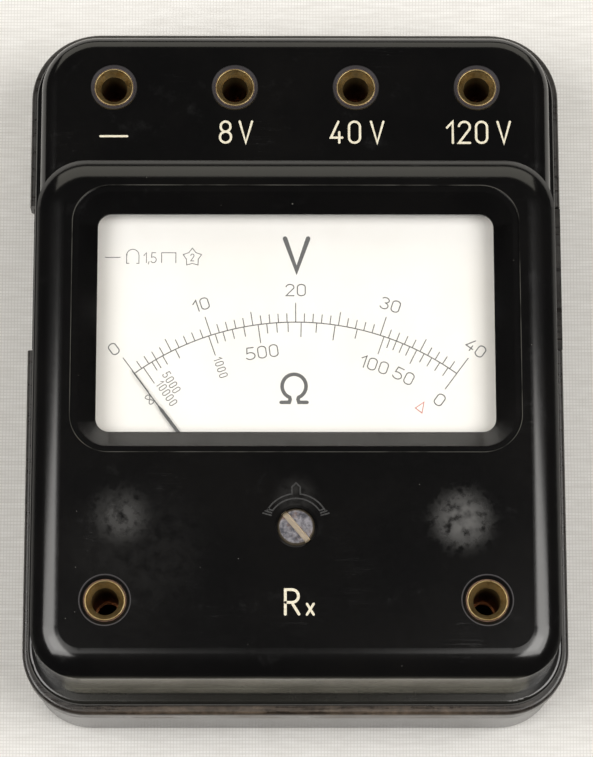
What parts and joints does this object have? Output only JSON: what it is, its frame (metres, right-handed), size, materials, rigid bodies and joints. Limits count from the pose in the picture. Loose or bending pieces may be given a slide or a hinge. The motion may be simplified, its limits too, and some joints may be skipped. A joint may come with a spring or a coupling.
{
  "type": "analog multimeter",
  "caption": "Hand-held moving-coil volt and ohm meter with a stepped moulded case, glass window, plug sockets, a zero adjuster and a side battery drawer.",
  "frame": {"origin": "middle of the underside of the case", "axes": "+Z out of the dial, +Y from the pointer axis towards the terminal deck, +X to the right of the dial"},
  "size_m": [0.084, 0.1096, 0.038],
  "materials": {
    "black_phenolic": "polished, with fine scratches and rubbed patches",
    "brown_phenolic": "worn satin rim above a glossy wall",
    "gasket_felt": "matt",
    "window_glass": "clear float glass",
    "plated_steel": "dull nickel plate",
    "worn_brass": "tarnished in the recesses",
    "tarnished_screw": "tarnished, with a worn slot",
    "tinned_copper": "tinned",
    "dial_white": "matt white enamel",
    "pointer_black": "matt black",
    "magnet_steel": "dark scale",
    "coil_frame": "plain",
    "copper_wire": "enamelled copper",
    "hairspring_bronze": "bright",
    "paper_board": "varnished laminate",
    "red_wire": "satin",
    "cell_jacket": "satin printed jacket"
  },
  "bodies": {
    "case": {"cover": "black_phenolic", "base_tray": "brown_phenolic", "window_gasket": "gasket_felt", "window_glass": "window_glass", "glass_retainer": "plated_steel", "retainer_screws": "worn_brass", "socket_common": "worn_brass", "socket_8v": "worn_brass", "socket_40v": "worn_brass", "socket_120v": "worn_brass", "socket_rx_left": "worn_brass", "socket_rx_right": "worn_brass", "socket_nuts": "worn_brass", "solder_tags": "tinned_copper", "case_screws": "plated_steel", "dial_plate": "dial_white", "dial_screws": "worn_brass", "dial_pillars": "worn_brass", "stop_pins": "plated_steel", "magnet": "magnet_steel", "magnet_clamp": "worn_brass", "pole_piece_left": "magnet_steel", "pole_piece_right": "magnet_steel", "core": "magnet_steel", "core_bracket": "worn_brass", "core_screw": "plated_steel", "bridge_top": "worn_brass", "bridge_bottom": "worn_brass", "bridge_posts": "worn_brass", "bridge_screws": "plated_steel", "jewel_screw_top": "plated_steel", "jewel_screw_bottom": "plated_steel", "jewel_locknuts": "worn_brass", "spring_stud": "worn_brass", "circuit_board": "paper_board", "board_screws": "plated_steel", "ohm_resistors": "copper_wire", "resistor_board": "paper_board", "multiplier_resistors": "copper_wire", "contact_wipers": "hairspring_bronze", "hookup_wires": "red_wire"},
    "moving_coil": {"coil_former": "coil_frame", "coil_winding": "copper_wire", "staff_top": "plated_steel", "staff_bottom": "plated_steel", "hairspring_top": "hairspring_bronze", "hairspring_bottom": "hairspring_bronze", "pointer": "pointer_black", "balance_weights": "worn_brass"},
    "zero_screw": {"zero_screw": "tarnished_screw", "zero_screw_clip": "plated_steel"},
    "zero_arm": {"zero_arm": "worn_brass"},
    "battery_drawer": {"battery_drawer": "brown_phenolic", "battery_cell": "cell_jacket", "contact_plus": "hairspring_bronze", "contact_minus": "hairspring_bronze"}
  },
  "joints": [
    {"name": "pointer_swing", "type": "hinge", "parent": "case", "child": "moving_coil", "pos_m": [0, -0.0372, 0.018], "axis": [0, 0, -1], "range_deg": [-2.4, 75.6], "stiffness_Nm_per_rad": 0.000002},
    {"name": "zero_screw_turn", "type": "hinge", "parent": "case", "child": "zero_screw", "pos_m": [0, -0.02885, 0.038], "axis": [0, 0, 1], "range_deg": [-40, 40]},
    {"name": "zero_arm_turn", "type": "hinge", "parent": "case", "child": "zero_arm", "pos_m": [0, -0.0372, 0.038], "axis": [0, 0, 1], "range_deg": [-5.6, 5.6]},
    {"name": "drawer_slide", "type": "slide", "parent": "case", "child": "battery_drawer", "axis": [1, 0, 0], "range_m": [0, 0.066]}
  ],
  "couplings": [
    {"joint": "zero_arm_turn", "follows": "zero_screw_turn", "ratio": -0.138}
  ]
}
